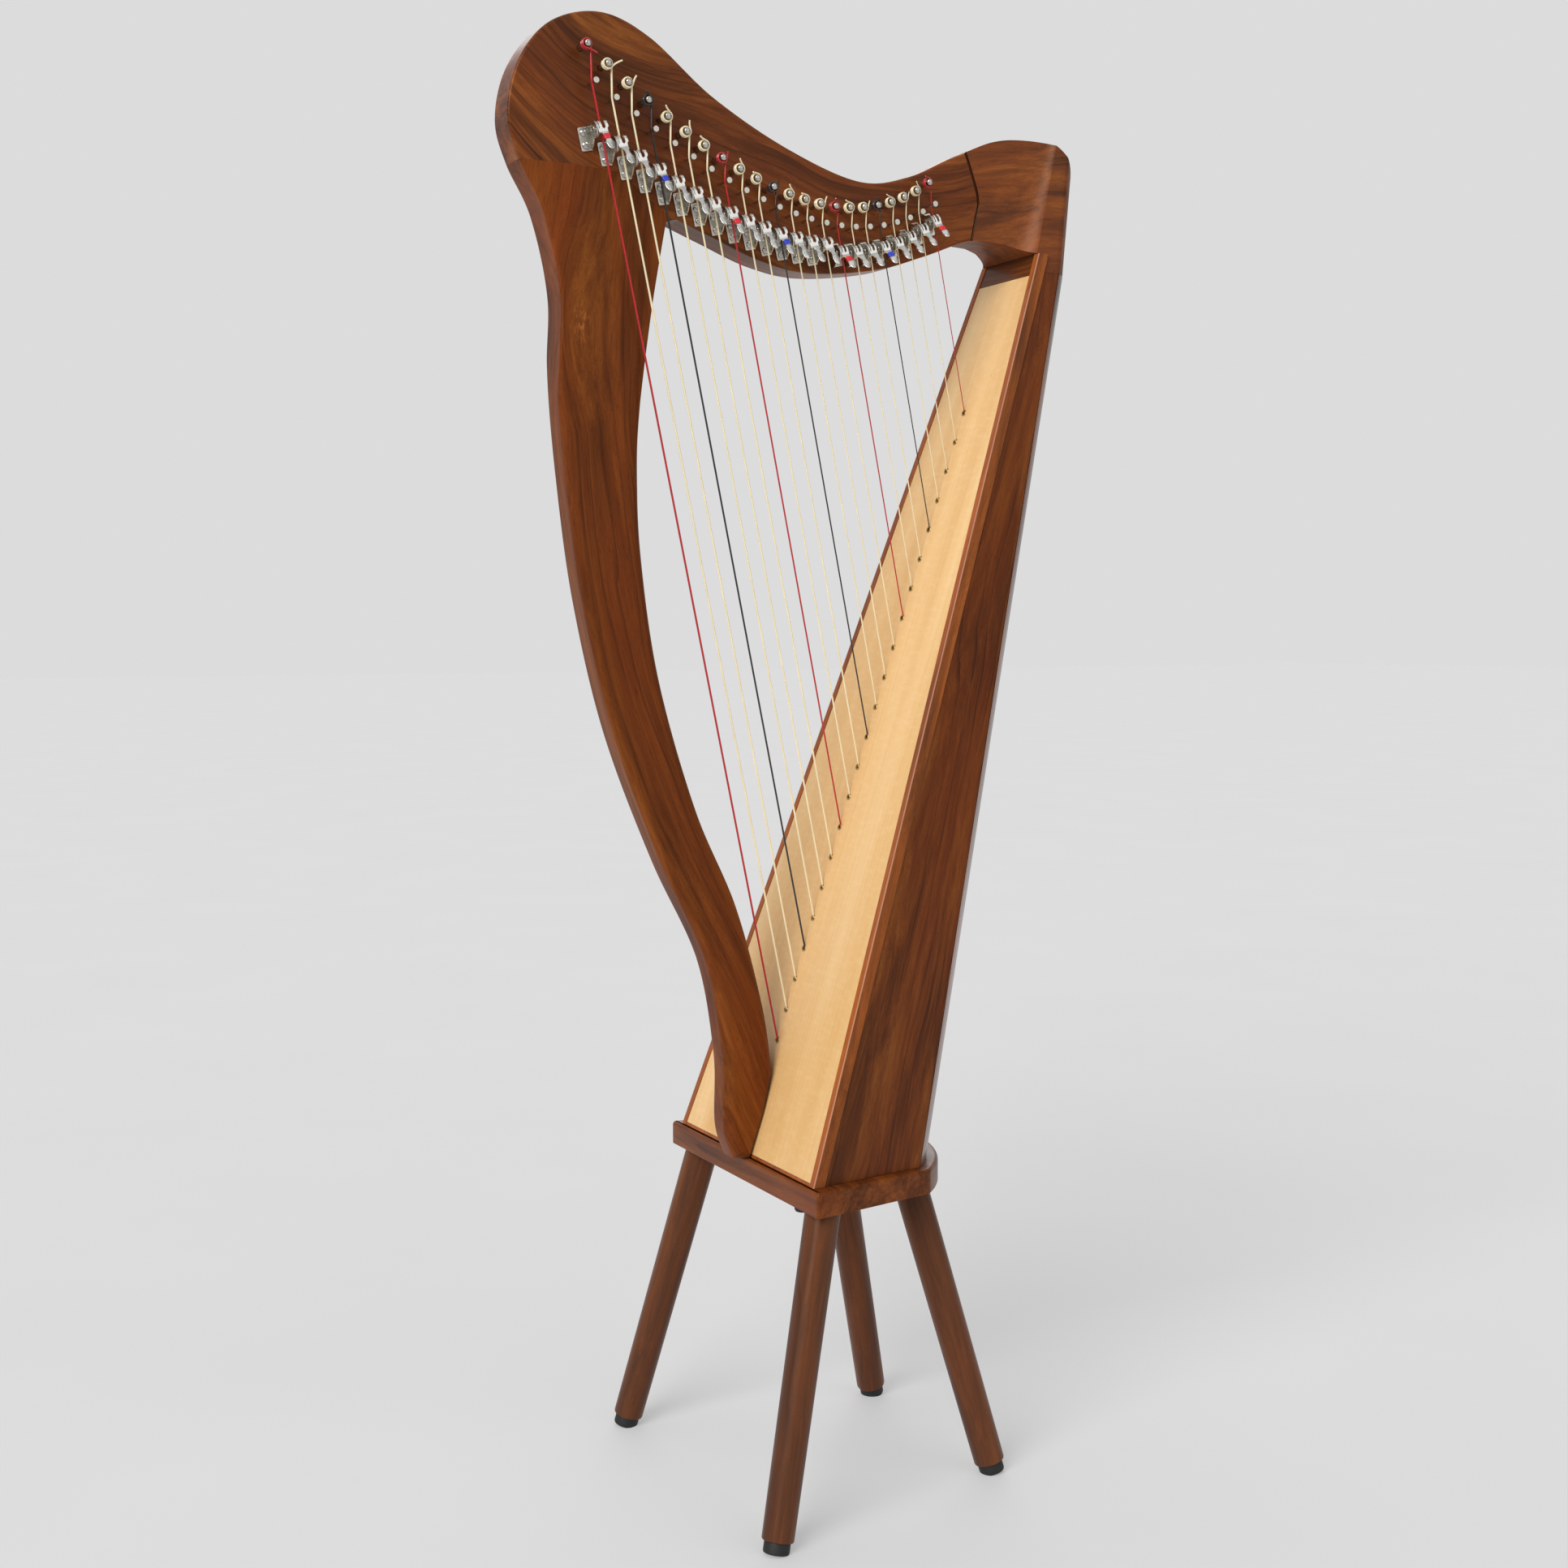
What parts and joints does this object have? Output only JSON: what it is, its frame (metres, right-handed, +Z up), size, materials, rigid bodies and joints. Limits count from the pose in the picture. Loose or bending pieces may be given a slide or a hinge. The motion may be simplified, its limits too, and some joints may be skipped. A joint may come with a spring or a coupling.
{
  "type": "lever harp",
  "caption": "Stringed lever harp with a slanted soundbox, curved neck, bowed pillar, sharping levers, turning tuning pins and four splayed screw-in legs",
  "frame": {"origin": "On the floor, midway between the outermost points of the harp in X and in Y", "axes": "+Z up; +X from the pillar towards the soundbox; the levers and strings are on the -Y side of the neck"},
  "size_m": [0.5519, 0.3268, 1.2569],
  "materials": {
    "rosewood": "satin varnish",
    "rosewood_panel": "satin varnish",
    "spruce": "satin varnish",
    "nickel": "polished nickel",
    "steel": "nickel-plated",
    "nylon": "smooth",
    "rubber": "matt"
  },
  "bodies": {
    "harp_frame": {"pillar": "rosewood", "neck": "rosewood", "shoulder_block": "rosewood", "soundbox_frame": "rosewood", "soundboard": "spruce", "back_panel": "rosewood_panel", "string_set": "nylon", "base_board": "rosewood", "leg_front_near": "rosewood", "foot_front_near": "rubber", "leg_front_far": "rosewood", "foot_front_far": "rubber", "leg_rear_near": "rosewood", "foot_rear_near": "rubber", "leg_rear_far": "rosewood", "foot_rear_far": "rubber"},
    "lever_body_01": {"lever_01": "nickel"},
    "lever_body_02": {"lever_02": "nickel"},
    "lever_body_03": {"lever_03": "nickel"},
    "lever_body_04": {"lever_04": "nickel"},
    "lever_body_05": {"lever_05": "nickel"},
    "lever_body_06": {"lever_06": "nickel"},
    "lever_body_07": {"lever_07": "nickel"},
    "lever_body_08": {"lever_08": "nickel"},
    "lever_body_09": {"lever_09": "nickel"},
    "lever_body_10": {"lever_10": "nickel"},
    "lever_body_11": {"lever_11": "nickel"},
    "lever_body_12": {"lever_12": "nickel"},
    "lever_body_13": {"lever_13": "nickel"},
    "lever_body_14": {"lever_14": "nickel"},
    "lever_body_15": {"lever_15": "nickel"},
    "lever_body_16": {"lever_16": "nickel"},
    "lever_body_17": {"lever_17": "nickel"},
    "lever_body_18": {"lever_18": "nickel"},
    "lever_body_19": {"lever_19": "nickel"},
    "lever_body_20": {"lever_20": "nickel"},
    "lever_body_21": {"lever_21": "nickel"},
    "lever_body_22": {"lever_22": "nickel"},
    "tuning_pin_body_01": {"tuning_pin_01": "steel"},
    "tuning_pin_body_02": {"tuning_pin_02": "steel"},
    "tuning_pin_body_03": {"tuning_pin_03": "steel"},
    "tuning_pin_body_04": {"tuning_pin_04": "steel"},
    "tuning_pin_body_05": {"tuning_pin_05": "steel"},
    "tuning_pin_body_06": {"tuning_pin_06": "steel"},
    "tuning_pin_body_07": {"tuning_pin_07": "steel"},
    "tuning_pin_body_08": {"tuning_pin_08": "steel"},
    "tuning_pin_body_09": {"tuning_pin_09": "steel"},
    "tuning_pin_body_10": {"tuning_pin_10": "steel"},
    "tuning_pin_body_11": {"tuning_pin_11": "steel"},
    "tuning_pin_body_12": {"tuning_pin_12": "steel"},
    "tuning_pin_body_13": {"tuning_pin_13": "steel"},
    "tuning_pin_body_14": {"tuning_pin_14": "steel"},
    "tuning_pin_body_15": {"tuning_pin_15": "steel"},
    "tuning_pin_body_16": {"tuning_pin_16": "steel"},
    "tuning_pin_body_17": {"tuning_pin_17": "steel"},
    "tuning_pin_body_18": {"tuning_pin_18": "steel"},
    "tuning_pin_body_19": {"tuning_pin_19": "steel"},
    "tuning_pin_body_20": {"tuning_pin_20": "steel"},
    "tuning_pin_body_21": {"tuning_pin_21": "steel"},
    "tuning_pin_body_22": {"tuning_pin_22": "steel"}
  },
  "joints": [
    {"name": "lever_flip_01", "type": "hinge", "parent": "harp_frame", "child": "lever_body_01", "pos_m": [-0.20171, -0.028, 1.16065], "axis": [-0.9744, 0, -0.2248], "range_deg": [0, 75]},
    {"name": "lever_flip_02", "type": "hinge", "parent": "harp_frame", "child": "lever_body_02", "pos_m": [-0.18426, -0.028, 1.15081], "axis": [-0.9743, 0, -0.2252], "range_deg": [0, 75]},
    {"name": "lever_flip_03", "type": "hinge", "parent": "harp_frame", "child": "lever_body_03", "pos_m": [-0.16701, -0.028, 1.14151], "axis": [-0.9742, 0, -0.2257], "range_deg": [0, 75]},
    {"name": "lever_flip_04", "type": "hinge", "parent": "harp_frame", "child": "lever_body_04", "pos_m": [-0.14997, -0.028, 1.1328], "axis": [-0.974, 0, -0.2264], "range_deg": [0, 75]},
    {"name": "lever_flip_05", "type": "hinge", "parent": "harp_frame", "child": "lever_body_05", "pos_m": [-0.13314, -0.028, 1.12472], "axis": [-0.9738, 0, -0.2273], "range_deg": [0, 75]},
    {"name": "lever_flip_06", "type": "hinge", "parent": "harp_frame", "child": "lever_body_06", "pos_m": [-0.11652, -0.028, 1.11733], "axis": [-0.9736, 0, -0.2284], "range_deg": [0, 75]},
    {"name": "lever_flip_07", "type": "hinge", "parent": "harp_frame", "child": "lever_body_07", "pos_m": [-0.10013, -0.028, 1.11065], "axis": [-0.9733, 0, -0.2296], "range_deg": [0, 75]},
    {"name": "lever_flip_08", "type": "hinge", "parent": "harp_frame", "child": "lever_body_08", "pos_m": [-0.08396, -0.028, 1.10474], "axis": [-0.9729, 0, -0.2311], "range_deg": [0, 75]},
    {"name": "lever_flip_09", "type": "hinge", "parent": "harp_frame", "child": "lever_body_09", "pos_m": [-0.06802, -0.028, 1.09964], "axis": [-0.9725, 0, -0.2329], "range_deg": [0, 75]},
    {"name": "lever_flip_10", "type": "hinge", "parent": "harp_frame", "child": "lever_body_10", "pos_m": [-0.05232, -0.028, 1.09539], "axis": [-0.972, 0, -0.235], "range_deg": [0, 75]},
    {"name": "lever_flip_11", "type": "hinge", "parent": "harp_frame", "child": "lever_body_11", "pos_m": [-0.03685, -0.028, 1.09203], "axis": [-0.9714, 0, -0.2374], "range_deg": [0, 75]},
    {"name": "lever_flip_12", "type": "hinge", "parent": "harp_frame", "child": "lever_body_12", "pos_m": [-0.02162, -0.028, 1.08961], "axis": [-0.9707, 0, -0.2402], "range_deg": [0, 75]},
    {"name": "lever_flip_13", "type": "hinge", "parent": "harp_frame", "child": "lever_body_13", "pos_m": [-0.00664, -0.028, 1.08817], "axis": [-0.9699, 0, -0.2434], "range_deg": [0, 75]},
    {"name": "lever_flip_14", "type": "hinge", "parent": "harp_frame", "child": "lever_body_14", "pos_m": [0.00808, -0.028, 1.08776], "axis": [-0.969, 0, -0.2471], "range_deg": [0, 75]},
    {"name": "lever_flip_15", "type": "hinge", "parent": "harp_frame", "child": "lever_body_15", "pos_m": [0.02399, -0.028, 1.08289], "axis": [-0.9679, 0, -0.2514], "range_deg": [0, 75]},
    {"name": "lever_flip_16", "type": "hinge", "parent": "harp_frame", "child": "lever_body_16", "pos_m": [0.03835, -0.028, 1.08418], "axis": [-0.9666, 0, -0.2563], "range_deg": [0, 75]},
    {"name": "lever_flip_17", "type": "hinge", "parent": "harp_frame", "child": "lever_body_17", "pos_m": [0.05246, -0.028, 1.08662], "axis": [-0.9651, 0, -0.2619], "range_deg": [0, 75]},
    {"name": "lever_flip_18", "type": "hinge", "parent": "harp_frame", "child": "lever_body_18", "pos_m": [0.0663, -0.028, 1.09027], "axis": [-0.9633, 0, -0.2684], "range_deg": [0, 75]},
    {"name": "lever_flip_19", "type": "hinge", "parent": "harp_frame", "child": "lever_body_19", "pos_m": [0.07988, -0.028, 1.09516], "axis": [-0.9612, 0, -0.2758], "range_deg": [0, 75]},
    {"name": "lever_flip_20", "type": "hinge", "parent": "harp_frame", "child": "lever_body_20", "pos_m": [0.09319, -0.028, 1.10133], "axis": [-0.9587, 0, -0.2843], "range_deg": [0, 75]},
    {"name": "lever_flip_21", "type": "hinge", "parent": "harp_frame", "child": "lever_body_21", "pos_m": [0.10622, -0.028, 1.10884], "axis": [-0.9558, 0, -0.2941], "range_deg": [0, 75]},
    {"name": "lever_flip_22", "type": "hinge", "parent": "harp_frame", "child": "lever_body_22", "pos_m": [0.11898, -0.028, 1.11772], "axis": [-0.9523, 0, -0.3051], "range_deg": [0, 75]},
    {"name": "tuning_pin_turn_01", "type": "hinge", "parent": "harp_frame", "child": "tuning_pin_body_01", "pos_m": [-0.2145, 0, 1.225], "axis": [0, 1, 0], "continuous": true},
    {"name": "tuning_pin_turn_02", "type": "hinge", "parent": "harp_frame", "child": "tuning_pin_body_02", "pos_m": [-0.19647, 0, 1.21166], "axis": [0, 1, 0], "continuous": true},
    {"name": "tuning_pin_turn_03", "type": "hinge", "parent": "harp_frame", "child": "tuning_pin_body_03", "pos_m": [-0.17868, 0, 1.19908], "axis": [0, 1, 0], "continuous": true},
    {"name": "tuning_pin_turn_04", "type": "hinge", "parent": "harp_frame", "child": "tuning_pin_body_04", "pos_m": [-0.16113, 0, 1.18731], "axis": [0, 1, 0], "continuous": true},
    {"name": "tuning_pin_turn_05", "type": "hinge", "parent": "harp_frame", "child": "tuning_pin_body_05", "pos_m": [-0.14381, 0, 1.17637], "axis": [0, 1, 0], "continuous": true},
    {"name": "tuning_pin_turn_06", "type": "hinge", "parent": "harp_frame", "child": "tuning_pin_body_06", "pos_m": [-0.12674, 0, 1.1663], "axis": [0, 1, 0], "continuous": true},
    {"name": "tuning_pin_turn_07", "type": "hinge", "parent": "harp_frame", "child": "tuning_pin_body_07", "pos_m": [-0.10992, 0, 1.15713], "axis": [0, 1, 0], "continuous": true},
    {"name": "tuning_pin_turn_08", "type": "hinge", "parent": "harp_frame", "child": "tuning_pin_body_08", "pos_m": [-0.09335, 0, 1.14889], "axis": [0, 1, 0], "continuous": true},
    {"name": "tuning_pin_turn_09", "type": "hinge", "parent": "harp_frame", "child": "tuning_pin_body_09", "pos_m": [-0.07704, 0, 1.14162], "axis": [0, 1, 0], "continuous": true},
    {"name": "tuning_pin_turn_10", "type": "hinge", "parent": "harp_frame", "child": "tuning_pin_body_10", "pos_m": [-0.06098, 0, 1.13534], "axis": [0, 1, 0], "continuous": true},
    {"name": "tuning_pin_turn_11", "type": "hinge", "parent": "harp_frame", "child": "tuning_pin_body_11", "pos_m": [-0.04518, 0, 1.1301], "axis": [0, 1, 0], "continuous": true},
    {"name": "tuning_pin_turn_12", "type": "hinge", "parent": "harp_frame", "child": "tuning_pin_body_12", "pos_m": [-0.02964, 0, 1.12592], "axis": [0, 1, 0], "continuous": true},
    {"name": "tuning_pin_turn_13", "type": "hinge", "parent": "harp_frame", "child": "tuning_pin_body_13", "pos_m": [-0.01437, 0, 1.12284], "axis": [0, 1, 0], "continuous": true},
    {"name": "tuning_pin_turn_14", "type": "hinge", "parent": "harp_frame", "child": "tuning_pin_body_14", "pos_m": [0.00063, 0, 1.12089], "axis": [0, 1, 0], "continuous": true},
    {"name": "tuning_pin_turn_15", "type": "hinge", "parent": "harp_frame", "child": "tuning_pin_body_15", "pos_m": [0.01535, 0, 1.12011], "axis": [0, 1, 0], "continuous": true},
    {"name": "tuning_pin_turn_16", "type": "hinge", "parent": "harp_frame", "child": "tuning_pin_body_16", "pos_m": [0.0298, 0, 1.12052], "axis": [0, 1, 0], "continuous": true},
    {"name": "tuning_pin_turn_17", "type": "hinge", "parent": "harp_frame", "child": "tuning_pin_body_17", "pos_m": [0.04397, 0, 1.12217], "axis": [0, 1, 0], "continuous": true},
    {"name": "tuning_pin_turn_18", "type": "hinge", "parent": "harp_frame", "child": "tuning_pin_body_18", "pos_m": [0.05785, 0, 1.12508], "axis": [0, 1, 0], "continuous": true},
    {"name": "tuning_pin_turn_19", "type": "hinge", "parent": "harp_frame", "child": "tuning_pin_body_19", "pos_m": [0.07145, 0, 1.12928], "axis": [0, 1, 0], "continuous": true},
    {"name": "tuning_pin_turn_20", "type": "hinge", "parent": "harp_frame", "child": "tuning_pin_body_20", "pos_m": [0.08476, 0, 1.13481], "axis": [0, 1, 0], "continuous": true},
    {"name": "tuning_pin_turn_21", "type": "hinge", "parent": "harp_frame", "child": "tuning_pin_body_21", "pos_m": [0.09778, 0, 1.14171], "axis": [0, 1, 0], "continuous": true},
    {"name": "tuning_pin_turn_22", "type": "hinge", "parent": "harp_frame", "child": "tuning_pin_body_22", "pos_m": [0.1105, 0, 1.15], "axis": [0, 1, 0], "continuous": true}
  ]
}
